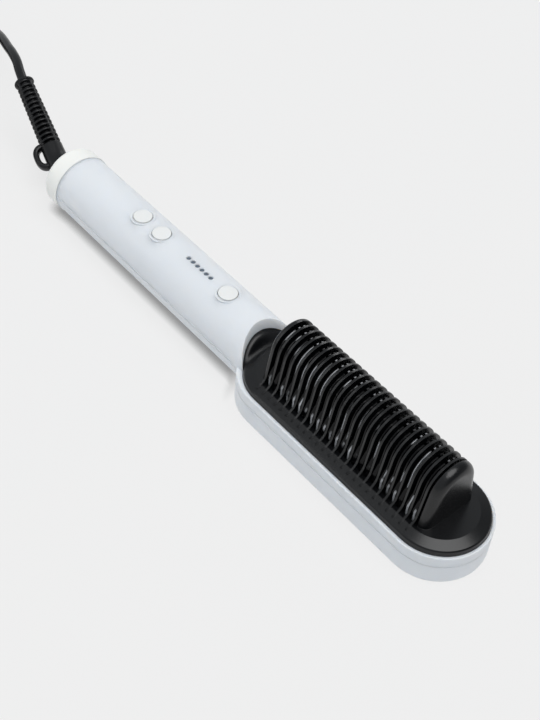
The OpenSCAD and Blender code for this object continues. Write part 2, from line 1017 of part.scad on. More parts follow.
module swivel_housing() {
  bore_r = journal_d / 2 + journal_gap;
  color([0.86, 0.86, 0.84])
  translate([0, 0, axis_z])
    difference() {
      union() {
        xcyl(housing_x0, housing_x1, housing_r, housing_r);
        xcyl(web_x[0] + web_t + 0.1, web_x[1] - 0.1, web_r + 1.4, web_r + 1.4);
      }
      xcyl(housing_x0 + housing_end, housing_x1 + 1, housing_in_r, housing_in_r);
      xcyl(housing_x0 - 1, housing_x1, bore_r, bore_r);
    }
}

module swivel_contacts() {
  color([0.82, 0.66, 0.38])
  for (x = ring_x)
    translate([x + 0.25, -1, axis_z + ring_d / 2 + 0.3])
      cube([ring_w - 0.5, 2, housing_in_r - ring_d / 2 - 0.45]);
}

module swivel_core() {
  x1 = housing_x0 + housing_end;
  color([0.20, 0.20, 0.21])
  translate([0, 0, axis_z])
    union() {
      xcyl(relief_x0, x1 + 0.5, journal_d / 2, journal_d / 2);
      xcyl(x1 + 0.2, x1 + 2.2, housing_in_r - 0.8, housing_in_r - 0.8);
      xcyl(x1 + 2, ring_x[1] + ring_w + 4.5, 4, 4);
    }
}

module slip_rings() {
  color([0.82, 0.66, 0.38])
  translate([0, 0, axis_z])
    for (x = ring_x)
      difference() {
        xcyl(x, x + ring_w, ring_d / 2, ring_d / 2);
        xcyl(x - 1, x + ring_w + 1, 4.02, 4.02);
      }
}

// ---- lead ----

// frame at the end of the bend, x along the lead
module after_bend() {
  translate([bend_x, 0, axis_z])
    rotate([bend_dir + 180, 0, 0])
      rotate([0, 0, 180])
        translate([bend_r * sin(bend_a), bend_r * (1 - cos(bend_a)), 0])
          rotate([0, 0, bend_a])
            rotate([relief_roll, 0, 0])
              children();
}

module relief_slots() {
  s0 = collar_end + 1.6;
  difference() {
    for (i = [0 : slot_rows - 1])
      translate([s0 + i * slot_pitch, 0, 0]) {
        for (m = [0, 1])
          mirror([0, 0, m])
            translate([-slot_l / 2, -relief_d / 4, 0])
              cube([slot_l, relief_d / 2, relief_d]);
        if (i < slot_rows - 1)
          for (m = [0, 1])
            mirror([0, m, 0])
              translate([slot_pitch / 2 - slot_l / 2, 0, -relief_d * 0.29])
                cube([slot_l, relief_d, relief_d * 0.58]);
      }
    xcyl(-1, relief_l + 1, relief_core_r, relief_core_r);
  }
}

module hang_loop() {
  r = loop_reach / 2 + 1;
  w = 2.1;
  h = r - w;
  translate([3 - loop_l / 2 + r, collar_d / 2 + loop_reach - r, -loop_t / 2])
    difference() {
      union() {
        cylinder(r = r, h = loop_t);
        translate([loop_l - 2 * r, 0, 0])
          cylinder(r = r, h = loop_t);
        translate([0, -r, 0])
          cube([loop_l - 2 * r, 2 * r, loop_t]);
        translate([-r, -r - 2, 0])
          cube([loop_l, r + 2, loop_t]);
      }
      translate([0, 0, -1])
        cylinder(r = h, h = loop_t + 2);
      translate([loop_l - 2 * r, 0, -1])
        cylinder(r = h, h = loop_t + 2);
      translate([0, -h, -1])
        cube([loop_l - 2 * r, 2 * h, loop_t + 2]);
    }
}

module strain_relief() {
  c = collar_d / 2;
  color([0.07, 0.07, 0.08])
  union() {
    translate([0, 0, axis_z])
      xcyl(bend_x - 0.2, relief_x0, c, c);
    translate([bend_x, 0, axis_z])
      rotate([bend_dir + 180, 0, 0])
        rotate([0, 0, 180])
          translate([0, bend_r, 0])
            rotate([0, 0, -90])
              rotate_extrude(angle = bend_a)
                translate([bend_r, 0])
                  circle(c - 0.03);
    after_bend() {
      xcyl(-0.2, collar_end, c, c - 0.2);
      difference() {
        xcyl(collar_end - 1, relief_l - 1.6, relief_d / 2, relief_tip_d / 2);
        relief_slots();
      }
      xcyl(relief_l - 1.7, relief_l, relief_tip_d / 2 + 0.35, relief_tip_d / 2 + 0.25);
      hang_loop();
    }
  }
}

// middle line of the lead from the strain relief to the coil
cord_route = [
  [-194.4, 11.7, 29.2], [-196.2, 12.2, 29.7], [-203.6, 14.7, 31.2],
  [-210.5, 17.6, 31.6], [-219, 20.4, 30.8], [-227.1, 22.8, 29],
  [-235.6, 25.6, 26.8], [-244, 28.4, 24], [-253, 31, 20.2], [-261.5, 32.8, 16],
  [-270, 34, 11.8], [-278.5, 34.7, 8.2], [-287.5, 35, 5.4], [-297, 34.9, 3.9],
  [-306, 34.8, 3.5]
];

// middle line of the lead from the coil to the plug
tail_route = [
  [-306, -30, 17.9], [-297, -30, 17.8], [-289, -30, 16.9], [-281, -30, 15.1],
  [-272, -30, 12.5], [-263, -30, 9.8], [-254, -30, 7.6], [-246, -30, 6.5],
  [-239, -30, 6.2]
];
plug_at = [-241, -30, 6.2];

function unit(v) = v / norm(v);
function heading(p, i) =
  unit(p[min(i + 1, len(p) - 1)] - p[max(i - 1, 0)]);

module tube(p, r) {
  n = 10;
  k = len(p);
  rings = [
    for (i = [0 : k - 1])
      let (t = heading(p, i), s = unit(cross(t, [0, 0, 1])), u = cross(s, t))
        for (j = [0 : n - 1])
          p[i] + r * (cos(360 * j / n) * s + sin(360 * j / n) * u)
  ];
  sides = [
    for (i = [0 : k - 2])
      for (j = [0 : n - 1])
        [i * n + j, i * n + (j + 1) % n, (i + 1) * n + (j + 1) % n, (i + 1) * n + j]
  ];
  first = [for (j = [0 : n - 1]) n - 1 - j];
  last = [for (j = [0 : n - 1]) (k - 1) * n + j];
  polyhedron(points = rings, faces = concat(sides, [first], [last]));
}

module power_cord() {
  color([0.06, 0.06, 0.07]) {
    tube(cord_route, cord_d / 2);
    tube(tail_route, cord_d / 2);
  }
}

module cord_coil() {
  color([0.06, 0.06, 0.07])
  translate([coil_x, coil_y, 0])
    rotate_extrude()
      for (r = coil_rings)
        for (i = [0 : coil_rows - 1])
          translate([r, coil_z + i * coil_step])
            circle(cord_d / 2);
}

module coil_tie() {
  g = cord_d / 2 + 0.2;
  r0 = coil_rings[0] - g;
  r1 = coil_rings[1] + g;
  z0 = coil_z - g;
  z1 = coil_z + (coil_rows - 1) * coil_step + g;
  t = 0.7;
  color([0.10, 0.10, 0.11])
  translate([coil_x, coil_y, 0])
    rotate([0, 0, 230])
      difference() {
        translate([r0 - t, -3, z0 - t])
          cube([r1 - r0 + 2 * t, 6, z1 - z0 + 2 * t]);
        translate([r0, -4, z0])
          cube([r1 - r0, 8, z1 - z0]);
      }
}

module plug_body() {
  color([0.07, 0.07, 0.08])
  translate(plug_at)
    union() {
      xcyl(0, plug_sleeve_l, cord_d / 2 + 0.7, plug_t / 2 - 1);
      translate([plug_sleeve_l - 1, -plug_span / 2, -plug_t / 2])
        cube([plug_l, plug_span, plug_t]);
      for (m = [-1, 1])
        translate([plug_sleeve_l - 1, m * plug_span / 2, 0])
          rotate([0, 90, 0])
            cylinder(d = plug_t, h = plug_l);
    }
}

module plug_pins() {
  pin_x = plug_sleeve_l - 1 + plug_l;
  tip = 2;
  color([0.78, 0.78, 0.76])
  translate(plug_at)
    for (m = [-1, 1])
      translate([0, m * pin_pitch / 2, 0])
        union() {
          xcyl(pin_x, pin_x + pin_l - tip, pin_d / 2, pin_d / 2);
          xcyl(pin_x + pin_l - tip - e, pin_x + pin_l, pin_d / 2, pin_d / 2 - 0.8);
        }
}

upper_shell();
lower_shell();
end_cap();
comb_guard();
heating_plate();
ptc_heaters();
mica_insulator();
heater_clamp();
thermal_fuse();
thermistor();
circuit_board();
tact_switches();
indicator_leds();
light_guide();
board_screws();
shell_screws();
plate_screws();
swivel_housing();
swivel_contacts();
swivel_core();
slip_rings();
strain_relief();
power_cord();
cord_coil();
coil_tie();
plug_body();
plug_pins();
minus_button();
plus_button();
power_button();
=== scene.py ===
import json
import math

import bpy
from mathutils import Matrix, Vector


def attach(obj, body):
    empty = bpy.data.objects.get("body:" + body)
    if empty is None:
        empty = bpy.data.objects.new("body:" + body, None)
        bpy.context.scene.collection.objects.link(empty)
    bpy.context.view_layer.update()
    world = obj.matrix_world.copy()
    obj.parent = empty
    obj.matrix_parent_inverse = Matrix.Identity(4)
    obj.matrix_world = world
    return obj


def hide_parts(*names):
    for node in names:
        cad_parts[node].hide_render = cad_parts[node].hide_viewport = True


# The hot comb's looks. Lengths are in millimetres and angles in degrees until
# they reach Blender; +X runs from the lead to the tip of the head, +Z is up.

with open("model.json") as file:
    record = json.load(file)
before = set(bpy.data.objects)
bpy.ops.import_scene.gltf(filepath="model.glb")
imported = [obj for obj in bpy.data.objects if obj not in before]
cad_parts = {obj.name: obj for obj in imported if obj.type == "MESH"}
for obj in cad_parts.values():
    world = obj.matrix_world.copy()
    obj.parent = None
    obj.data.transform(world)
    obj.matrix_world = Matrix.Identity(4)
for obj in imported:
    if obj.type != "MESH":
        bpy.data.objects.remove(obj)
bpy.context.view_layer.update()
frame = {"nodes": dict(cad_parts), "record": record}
nodes = frame["nodes"]
scene = bpy.context.scene
MM = 0.001


# ---- camera ----

CAM_AT = (297.22, -281.42, 449.41)
CAM_AZIMUTH, CAM_ELEVATION, CAM_ROLL = 45.34, 47.388, 6.023
CAM_LENS, CAM_SENSOR = 68.12, 36.0
CAM_NEAR_M, CAM_FAR_M = 0.01, 20.0


def add_camera():
    cam = bpy.data.cameras.new("camera")
    cam.sensor_fit = "VERTICAL"
    cam.sensor_height = CAM_SENSOR
    cam.lens = CAM_LENS
    cam.clip_start = CAM_NEAR_M
    cam.clip_end = CAM_FAR_M
    az, el, roll = (math.radians(v) for v in (CAM_AZIMUTH, CAM_ELEVATION, CAM_ROLL))
    back = Vector((math.sin(az) * math.cos(el), -math.cos(az) * math.cos(el),
                   math.sin(el)))
    right = Vector((math.cos(az), math.sin(az), 0.0))
    up = back.cross(right)
    r = right * math.cos(roll) + up * math.sin(roll)
    u = -right * math.sin(roll) + up * math.cos(roll)
    obj = bpy.data.objects.new("camera", cam)
    m = Matrix((r, u, back)).transposed().to_4x4()
    m.translation = Vector(CAM_AT) * MM
    obj.matrix_world = m
    scene.collection.objects.link(obj)
    scene.camera = obj


add_camera()


# ---- mains lead ----

CORD_D = 5.0
COIL_AT = (-306.0, 2.4)     # middle of the coil
COIL_Z = 3.5                # middle line of its lowest row
COIL_R = (32.4, 27.6)       # outer and inner ring
COIL_STEP = 4.8             # from row to row
COIL_TURNS = 7.5
COIL_PER_TURN = 16          # points
COIL_CROSS = 0.4            # last share of a turn, in which the lead changes place
COIL_SWERVE = 5.0           # how far it swerves while it climbs to the next row
COIL_START = 90
# ring and row of each turn
COIL_PLACES = [(0, 0), (1, 0), (1, 1), (0, 1), (0, 2), (1, 2), (1, 3), (0, 3)]

# middle line from the strain relief to the coil, and from the coil to the plug
ROUTE = [
    (-194.4, 11.7, 29.2), (-196.2, 12.2, 29.7), (-203.6, 14.7, 31.2),
    (-210.5, 17.6, 31.6), (-219, 20.4, 30.8), (-227.1, 22.8, 29),
    (-235.6, 25.6, 26.8), (-244, 28.4, 24), (-253, 31, 20.2), (-261.5, 32.8, 16),
    (-270, 34, 11.8), (-278.5, 34.7, 8.2), (-287.5, 35, 5.4), (-297, 34.9, 3.9),
]
TAIL = [
    (-297, -30, 17.8), (-289, -30, 16.9), (-281, -30, 15.1), (-272, -30, 12.5),
    (-263, -30, 9.8), (-254, -30, 7.6), (-246, -30, 6.5), (-239, -30, 6.2),
]


def ease(t):
    t = min(1.0, max(0.0, t))
    return t * t * (3 - 2 * t)


def coil_points():
    """Seven and a half turns: four rows of two, in and out by turns."""
    pts = []
    for i in range(int(COIL_TURNS * COIL_PER_TURN) + 1):
        turn = i / COIL_PER_TURN
        k = int(turn)
        e = ease((turn - k - (1 - COIL_CROSS)) / COIL_CROSS)
        ring, row = COIL_PLACES[k]
        ring2, row2 = COIL_PLACES[min(k + 1, len(COIL_PLACES) - 1)]
        r = COIL_R[ring] + (COIL_R[ring2] - COIL_R[ring]) * e
        if row2 != row:
            r += (-COIL_SWERVE if ring else COIL_SWERVE) * e * (1 - e)
        a = math.radians(COIL_START + 360 * turn)
        pts.append((COIL_AT[0] + r * math.cos(a), COIL_AT[1] + r * math.sin(a),
                    COIL_Z + (row + (row2 - row) * e) * COIL_STEP))
    return pts


def bezier(name, pts, radius):
    """Smooth tube; each point holds its radius, so the curve's box is the tube's."""
    cu = bpy.data.curves.new(name, "CURVE")
    cu.dimensions = "3D"
    cu.bevel_depth = 1.0
    cu.bevel_resolution = 5
    cu.use_fill_caps = True
    cu.resolution_u = 8
    sp = cu.splines.new("BEZIER")
    sp.bezier_points.add(len(pts) - 1)
    for b, p in zip(sp.bezier_points, pts):
        b.co = Vector(p) * MM
        b.radius = radius
        b.handle_left_type = b.handle_right_type = "AUTO"
    obj = bpy.data.objects.new(name, cu)
    scene.collection.objects.link(obj)
    return obj


# ---- strain relief: collar, bend and slotted sleeve in one moulding ----
# x is 0 where the bend ends and the sleeve starts

AXIS_Z = 15.5
BEND_X, BEND_R, BEND_A = -145.0, 20.0, 21.6
BEND_SPAN = 7.54                        # length of the bend, rounded
BEND_DIR, ROLL = 49.3, 211.0            # way that it bends, turn of the sleeve
COLLAR_R, COLLAR_TAPER, COLLAR_END = 5.45, 0.1, 5.6
SLEEVE_L, SLEEVE_R, SLEEVE_TAPER = 47.2, 5.35, 0.85
BORE_R, RELIEF_AROUND = 2.45, 72
FLANGE_L, FLANGE_R = 1.6, 5.05
FLANGE_ROUND_L, FLANGE_ROUND = 0.45, 0.4
SLOT_FIRST, SLOT_ROWS, SLOT_PITCH, SLOT_W = 7.0, 14, 2.85, 1.5
SLOT_BOTTOM_R = 3.3
SLOT_HALF_A, SPINE_A = 33.5, 5.0        # half a slot, and its run into the spine
SLOT_WALL = 0.24                        # length over which a slot's wall falls
SLOT_TWIST, SLOT_TWIST_AT = 14.0, 0.4   # turn of the slots along the sleeve
RING_ROUND, RING_ROUND_L = 0.32, 0.5    # rounding of the rings' edges

# rows of vertices: by x, from the middle of each slot, and back from the end
COLLAR_ROWS = (-16.5, -12.0, 2.0, 4.5, 5.5, 5.6, 5.75)
SLOT_STATIONS = (0.0, 0.45, 0.63, 0.69, 0.75, 0.81, 0.87, 1.0, 1.15, 1.42)
END_STATIONS = (1.61, 1.6, 1.1, 0.45, 0.3, 0.15, 0.0)
BEND_ROWS = 8
LEAST_STEP = 0.008

LOOP_X, LOOP_Y = 1.9, 4.4               # middle of the D's flat side
LOOP_HALF_L, LOOP_REACH = 5.8, 4.4
LOOP_ROWS, LOOP_AROUND = 40, 14
BAR_HALF_W, BAR_HALF_D = 1.45, 2.3
LOOP_POWER, BAR_POWER = 0.8, 0.6        # 1 is round, and less is squarer


def turn_about(axis, degrees):
    return Matrix.Rotation(math.radians(degrees), 4, axis)


def relief_frame(x):
    """Frame on the middle line of the lead at x."""
    bend_l = BEND_R * math.radians(BEND_A)
    a = min(max(x + bend_l, 0.0), bend_l) / BEND_R
    m = Matrix.Translation((BEND_X, 0, AXIS_Z)) @ turn_about("X", BEND_DIR + 180)
    m = m @ turn_about("Z", 180)
    m = m @ Matrix.Translation((BEND_R * math.sin(a), BEND_R * (1 - math.cos(a)), 0))
    m = m @ turn_about("Z", math.degrees(a)) @ turn_about("X", ROLL)
    return m @ Matrix.Translation((min(x + bend_l, 0.0) if x < 0 else x, 0, 0))


def relief_radius(x, a):
    """Outer radius at x and angle a: collar, spines, slots, rings and flange."""
    if x < COLLAR_END:
        return COLLAR_R - COLLAR_TAPER * ease(x / COLLAR_END)
    r = SLEEVE_R - SLEEVE_TAPER * (x - COLLAR_END) / (SLEEVE_L - COLLAR_END)
    if x > SLEEVE_L - FLANGE_L:
        edge = max(0.0, (x - SLEEVE_L + FLANGE_ROUND_L) / FLANGE_ROUND_L)
        return FLANGE_R - FLANGE_ROUND * edge * edge
    k = round((x - SLOT_FIRST) / SLOT_PITCH)
    if k < 0 or k > SLOT_ROWS - 1:
        return r
    a += SLOT_TWIST * (x / SLEEVE_L - SLOT_TWIST_AT)
    q = abs((a + 45.0) % 90.0 - 45.0)
    slot = 1.0 - ease((q - SLOT_HALF_A) / SPINE_A)
    d = abs(x - SLOT_FIRST - k * SLOT_PITCH)
    depth = 1.0 - ease((d - SLOT_W / 2 + SLOT_WALL / 2) / SLOT_WALL)
    rounding = RING_ROUND * (1.0 - ease((d - SLOT_W / 2) / RING_ROUND_L))
    return r - slot * (depth * (r - SLOT_BOTTOM_R) + (1 - depth) * rounding)


def relief_stations():
    xs = list(COLLAR_ROWS)
    xs += [-BEND_SPAN + BEND_SPAN * i / BEND_ROWS for i in range(BEND_ROWS + 1)]
    for i in range(SLOT_ROWS):
        c = SLOT_FIRST + i * SLOT_PITCH
        for d in SLOT_STATIONS:
            xs += [c - d, c + d]
    xs += [SLEEVE_L - t for t in END_STATIONS]
    out = []
    for x in sorted(xs):
        if (not out or x - out[-1] > LEAST_STEP) and x <= SLEEVE_L:
            out.append(x)
    return out


def tube_faces(rows, around):
    """Faces between rows of vertices that each go once round a tube."""
    faces = []
    for i in range(rows - 1):
        for j in range(around):
            k = (j + 1) % around
            faces.append((i * around + j, (i + 1) * around + j,
                          (i + 1) * around + k, i * around + k))
    return faces


def mesh_piece(name, verts, faces, smooth_angle):
    me = bpy.data.meshes.new(name)
    me.from_pydata([tuple(Vector(v) * MM) for v in verts], [], faces)
    me.validate()
    me.shade_smooth()
    me.set_sharp_from_angle(angle=math.radians(smooth_angle))
    obj = bpy.data.objects.new(name, me)
    scene.collection.objects.link(obj)
    return obj


def add_relief():
    """Tube with a radius of its own at each row and angle, closed at its bore."""
    n = RELIEF_AROUND
    angles = [360.0 * j / n for j in range(n)]
    xs = relief_stations()
    verts = []
    for x in xs:
        m = relief_frame(x)
        for a in angles:
            r = relief_radius(x, a)
            verts.append(m @ Vector((0, r * math.sin(math.radians(a)),
                                     r * math.cos(math.radians(a)))))
    faces = tube_faces(len(xs), n)
    last = (len(xs) - 1) * n
    inner = len(verts)
    m = relief_frame(xs[-1])
    for a in angles:
        t = math.radians(a)
        verts.append(m @ Vector((0, BORE_R * math.sin(t), BORE_R * math.cos(t))))
    for j in range(n):
        k = (j + 1) % n
        faces.append((last + j, inner + j, inner + k, last + k))
    faces.append(tuple(inner + j for j in range(n)))
    faces.append(tuple(reversed(range(n))))
    return mesh_piece("lead_relief", verts, faces, 35)


def squared(v, power):
    return math.copysign(abs(v) ** power, v)


def add_loop():
    """Hanging loop beside the collar: a rounded bar bent to a D."""
    n, around = LOOP_ROWS, LOOP_AROUND
    path = []
    for i in range(n + 1):
        t = math.pi * i / n
        path.append((LOOP_X + LOOP_HALF_L * squared(math.cos(t), LOOP_POWER),
                     LOOP_Y + LOOP_REACH * squared(math.sin(t), LOOP_POWER)))
    verts = []
    base = relief_frame(0.0)
    for i, (px, py) in enumerate(path):
        a, b = path[max(i - 1, 0)], path[min(i + 1, n)]
        d = Vector((b[0] - a[0], b[1] - a[1], 0)).normalized()
        if i in (0, n):
            d = Vector((0, 1 if i == 0 else -1, 0))
        side = Vector((d.y, -d.x, 0))
        for j in range(around):
            t = 2 * math.pi * j / around
            u = BAR_HALF_W * squared(math.cos(t), BAR_POWER)
            w = BAR_HALF_D * squared(math.sin(t), BAR_POWER)
            verts.append(base @ (Vector((px, py, 0)) + side * u + Vector((0, 0, w))))
    faces = tube_faces(n + 1, around)
    faces.append(tuple(range(around)))
    faces.append(tuple(reversed(range(n * around, (n + 1) * around))))
    return mesh_piece("lead_loop", verts, faces, 60)


relief, loop = add_relief(), add_loop()
for piece in (relief, loop):
    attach(piece, "lead")
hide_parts("strain_relief")
cord = bezier("mains_lead", ROUTE + coil_points() + TAIL, CORD_D / 2 * MM)
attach(cord, "lead")
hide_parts("power_cord", "cord_coil")


# ---- nodes of materials ----

def srgb(r, g, b):
    def lin(c):
        c /= 255.0
        return c / 12.92 if c <= 0.04045 else ((c + 0.055) / 1.055) ** 2.4
    return (lin(r), lin(g), lin(b), 1.0)


def scaled(c, k):
    return (c[0] * k, c[1] * k, c[2] * k, 1.0)


def empty_tree(owner):
    owner.use_nodes = True
    owner.node_tree.nodes.clear()
    return owner.node_tree


def add_node(nt, kind, inputs=None, **settings):
    """New node; each input gets a value, or a socket that is linked to it."""
    node = nt.nodes.new("ShaderNode" + kind)
    for name, value in settings.items():
        setattr(node, name, value)
    for key, value in (inputs or {}).items():
        if isinstance(value, bpy.types.NodeSocket):
            nt.links.new(value, node.inputs[key])
        else:
            node.inputs[key].default_value = value
    return node


def add_math(nt, operation, *values):
    return add_node(nt, "Math", dict(enumerate(values)), operation=operation).outputs[0]


def add_range(nt, value, start, end, low=0.0, high=1.0, smooth=False):
    """Low to high as the value goes from start to end, and held beyond them."""
    kind = "SMOOTHSTEP" if smooth else "LINEAR"
    node = add_node(nt, "MapRange", {"Value": value, "From Min": start, "From Max": end,
                                     "To Min": low, "To Max": high},
                    interpolation_type=kind)
    return node.outputs["Result"]


def add_noise(nt, place, scale, detail):
    node = add_node(nt, "TexNoise", {"Vector": place, "Scale": scale, "Detail": detail})
    return node.outputs["Fac"]


def object_place(nt):
    return add_node(nt, "TexCoord").outputs["Object"]


# ---- materials ----

MOTTLE_DETAIL, GRAIN_DETAIL, WAVE_DETAIL = 4.0, 2.0, 1.0
MOTTLE_RANGE = (0.3, 0.7)
GRAIN_DEPTH = 0.05
LEAST_ROUGH = 0.02
HEEL_X = (15.0, 18.5)       # where the wide blend of the guard's heel ends
SSS_COLOUR = (1.0, 0.9, 0.8)


def material(name, colour, rough, metallic=0.0, spec=0.5, vary=0.03, rough_vary=0.06,
             grain=1600.0, bump=0.04, mottle=40.0, edge_r=0.2, heel_r=0.0, sss=0.0,
             sss_mm=3.0, wave=0.0, wave_scale=90.0, bevel_samples=6):
    """Moulded or coated surface: mottled colour, uneven gloss, fine grain."""
    m = bpy.data.materials.new(name)
    nt = empty_tree(m)
    place = object_place(nt)

    patches = add_noise(nt, place, mottle, MOTTLE_DETAIL)
    tint = add_node(nt, "Mix", {"Factor": add_range(nt, patches, *MOTTLE_RANGE),
                                "A": scaled(colour, 1 - vary),
                                "B": scaled(colour, 1 + vary)}, data_type="RGBA")
    roughness = add_range(nt, patches, 0.0, 1.0, max(LEAST_ROUGH, rough - rough_vary),
                          min(1.0, rough + rough_vary))

    radius = edge_r * MM
    if heel_r:
        # shading only: the heel is a straight slope that meets the deck in a crease
        x = add_node(nt, "SeparateXYZ", {0: place}).outputs["X"]
        radius = add_range(nt, x, HEEL_X[0] * MM, HEEL_X[1] * MM, heel_r * MM, radius)
    bevel = add_node(nt, "Bevel", {"Radius": radius}, samples=bevel_samples)
    fine = add_node(nt, "Bump", {"Strength": bump, "Distance": GRAIN_DEPTH * MM,
                                 "Height": add_noise(nt, place, grain, GRAIN_DETAIL),
                                 "Normal": bevel.outputs["Normal"]})
    normal = fine.outputs["Normal"]
    if wave:
        slow = add_node(nt, "Bump", {"Strength": 1.0, "Distance": wave * MM,
                                     "Height": add_noise(nt, place, wave_scale,
                                                         WAVE_DETAIL),
                                     "Normal": normal})
        normal = slow.outputs["Normal"]

    shader = add_node(nt, "BsdfPrincipled", {
        "Base Color": tint.outputs["Result"], "Roughness": roughness, "Normal": normal,
        "Metallic": metallic, "Specular IOR Level": spec})
    if sss:
        shader.inputs["Subsurface Weight"].default_value = sss
        shader.inputs["Subsurface Radius"].default_value = SSS_COLOUR
        shader.inputs["Subsurface Scale"].default_value = sss_mm * MM
    add_node(nt, "OutputMaterial", {0: shader.outputs[0]})
    return m


MAT = {
    "shell_plastic": material(
        "shell_plastic", srgb(226, 229, 233), 0.42, vary=0.012, grain=2200, bump=0.10,
        edge_r=0.10, mottle=18, sss=0.7, sss_mm=6.0),
    "cap_plastic": material(
        "cap_plastic", srgb(237, 237, 233), 0.40, vary=0.010, grain=2200, bump=0.08,
        edge_r=0.25, mottle=18, sss=0.35, sss_mm=3.0),
    "button_plastic": material(
        "button_plastic", srgb(227, 228, 227), 0.38, vary=0.010, grain=2600, bump=0.06,
        edge_r=0.15, sss=0.3, sss_mm=2.0),
    "guard_plastic": material(
        "guard_plastic", (0.0018, 0.0021, 0.0028, 1), 0.25, spec=0.42, vary=0.2,
        rough_vary=0.05, grain=1900, bump=0.10, edge_r=0.12, heel_r=3.0,
        bevel_samples=8),
    "blade_coating": material(
        "blade_coating", (0.0014, 0.0015, 0.0019, 1), 0.08, spec=0.16, vary=0.2,
        rough_vary=0.02, grain=900, bump=0.03, edge_r=0.45, wave=0.10, bevel_samples=8),
    "heater_ceramic": material(
        "heater_ceramic", srgb(206, 202, 190), 0.6, vary=0.05, grain=1200, bump=0.2),
    "mica": material(
        "mica", srgb(196, 176, 137), 0.5, vary=0.12, grain=700, bump=0.2),
    "steel": material(
        "steel", srgb(200, 201, 203), 0.3, metallic=1.0, vary=0.05, grain=3000,
        bump=0.1),
    "sensor": material("sensor", srgb(196, 160, 118), 0.4, vary=0.05),
    "board": material("board", srgb(62, 124, 88), 0.35, vary=0.05, grain=2500),
    "switch_plastic": material("switch_plastic", srgb(70, 70, 72), 0.5, vary=0.08),
    "led": material("led", srgb(235, 230, 195), 0.3, vary=0.03),
    "light_guide_plastic": material(
        "light_guide_plastic", srgb(96, 106, 118), 0.25, vary=0.04, bump=0.02),
    "bearing_plastic": material("bearing_plastic", srgb(228, 228, 225), 0.4),
    "brass": material("brass", srgb(214, 190, 130), 0.3, metallic=1.0, vary=0.05),
    "lead_rubber": material(
        "lead_rubber", (0.0024, 0.0026, 0.0033, 1), 0.30, spec=0.32, vary=0.2,
        rough_vary=0.06, grain=1500, bump=0.12, edge_r=0.15),
    "plug_metal": material(
        "plug_metal", srgb(225, 224, 220), 0.18, metallic=1.0, vary=0.02),
}

BLADE_PITCH = 3.784
BLADE_X0 = 24.8 + BLADE_PITCH / 2       # middle of the first blade
GLINT_COLOUR = (0.42, 0.43, 0.45, 1)
GLINT_WEAK = 0.62                       # strength on the fins and feet
GLINT_EDGE = 0.10                       # the marked edge, in pitches off the middle
GLINT_WIDE, GLINT_THIN = (0.16, 0.09), (0.11, 0.04)     # in pitches from that edge
GLINT_STRETCH, GLINT_ROW_STEP = 75.0, 5.37              # of the noise
STREAK_Y, STREAK_NOISE = (-0.5, -3.0), (0.53, 0.62)
FOOT_Y, FOOT_NOISE = (-12.5, -13.0), (0.42, 0.52)
FIN_Y0, FIN_PITCH, FIN_WIDTH = 0.85, 2.9, (0.2, 0.12)
FIN_Y, FIN_Z, FIN_NOISE = (-0.4, 0.2), (36.0, 38.0), (0.38, 0.55)


def paint_blade_glints(m):
    """Pale marks in the blades' base colour, in place of the photo's reflections.

    The photo's blades mirror its studio, which this scene's shader and lights
    don't do in those places. The marks stand in for that. They are paint on the
    edges that face the photo's camera, not wear, and they stay there from every
    side. Without this function and its call the blades are plain black.
    """
    nt = m.node_tree
    shader = next(n for n in nt.nodes if n.type == "BSDF_PRINCIPLED")
    under = shader.inputs["Base Color"].links[0].from_socket
    place = add_node(nt, "SeparateXYZ", {0: object_place(nt)})
    x, y, z = (place.outputs[axis] for axis in "XYZ")

    def step(v, start, end):
        """0 to 1 from start to end, whichever of them is larger."""
        if start > end:
            return add_range(nt, v, end, start, 1.0, 0.0, smooth=True)
        return add_range(nt, v, start, end, smooth=True)

    def step_mm(v, span):
        return step(v, span[0] * MM, span[1] * MM)

    def product(*values):
        out = values[0]
        for v in values[1:]:
            out = add_math(nt, "MULTIPLY", out, v)
        return out

    def per_pitch(v, start, pitch):
        return add_math(nt, "DIVIDE", add_math(nt, "SUBTRACT", v, start * MM),
                        pitch * MM)

    row = per_pitch(x, BLADE_X0, BLADE_PITCH)
    index = add_math(nt, "ROUND", row)
    off = add_math(nt, "SUBTRACT", row, index)
    from_edge = add_math(nt, "ABSOLUTE", add_math(nt, "SUBTRACT", off, GLINT_EDGE))
    wide, thin = step(from_edge, *GLINT_WIDE), step(from_edge, *GLINT_THIN)

    spot = add_node(nt, "CombineXYZ", {
        0: product(index, GLINT_ROW_STEP), 1: product(y, GLINT_STRETCH),
        2: product(z, GLINT_STRETCH)})
    noise = add_noise(nt, spot.outputs[0], 1.0, 1.0)

    streaks = product(step(noise, *STREAK_NOISE), step_mm(y, STREAK_Y), thin)
    feet = product(step_mm(y, FOOT_Y), step(noise, *FOOT_NOISE))
    from_fin = add_math(nt, "ABSOLUTE", add_math(
        nt, "WRAP", per_pitch(y, FIN_Y0, FIN_PITCH), 0.5, -0.5))
    fins = product(step(from_fin, *FIN_WIDTH), step_mm(y, FIN_Y), step_mm(z, FIN_Z),
                   step(noise, *FIN_NOISE))
    weak = product(add_math(nt, "MAXIMUM", fins, feet), wide, GLINT_WEAK)
    marks = add_node(nt, "Mix", {"Factor": add_math(nt, "MAXIMUM", weak, streaks),
                                 "A": under, "B": GLINT_COLOUR}, data_type="RGBA")
    nt.links.new(marks.outputs["Result"], shader.inputs["Base Color"])


paint_blade_glints(MAT["blade_coating"])

for part in frame["record"]["subparts"]:
    obj = nodes[part["node"]]
    mat = MAT[part["material_slot"]]
    if not obj.data.materials:
        obj.data.materials.append(mat)
    for i in range(len(obj.data.materials)):
        obj.data.materials[i] = mat
for piece in (cord, relief, loop):
    piece.data.materials.append(MAT["lead_rubber"])


# ---- floor and light ----

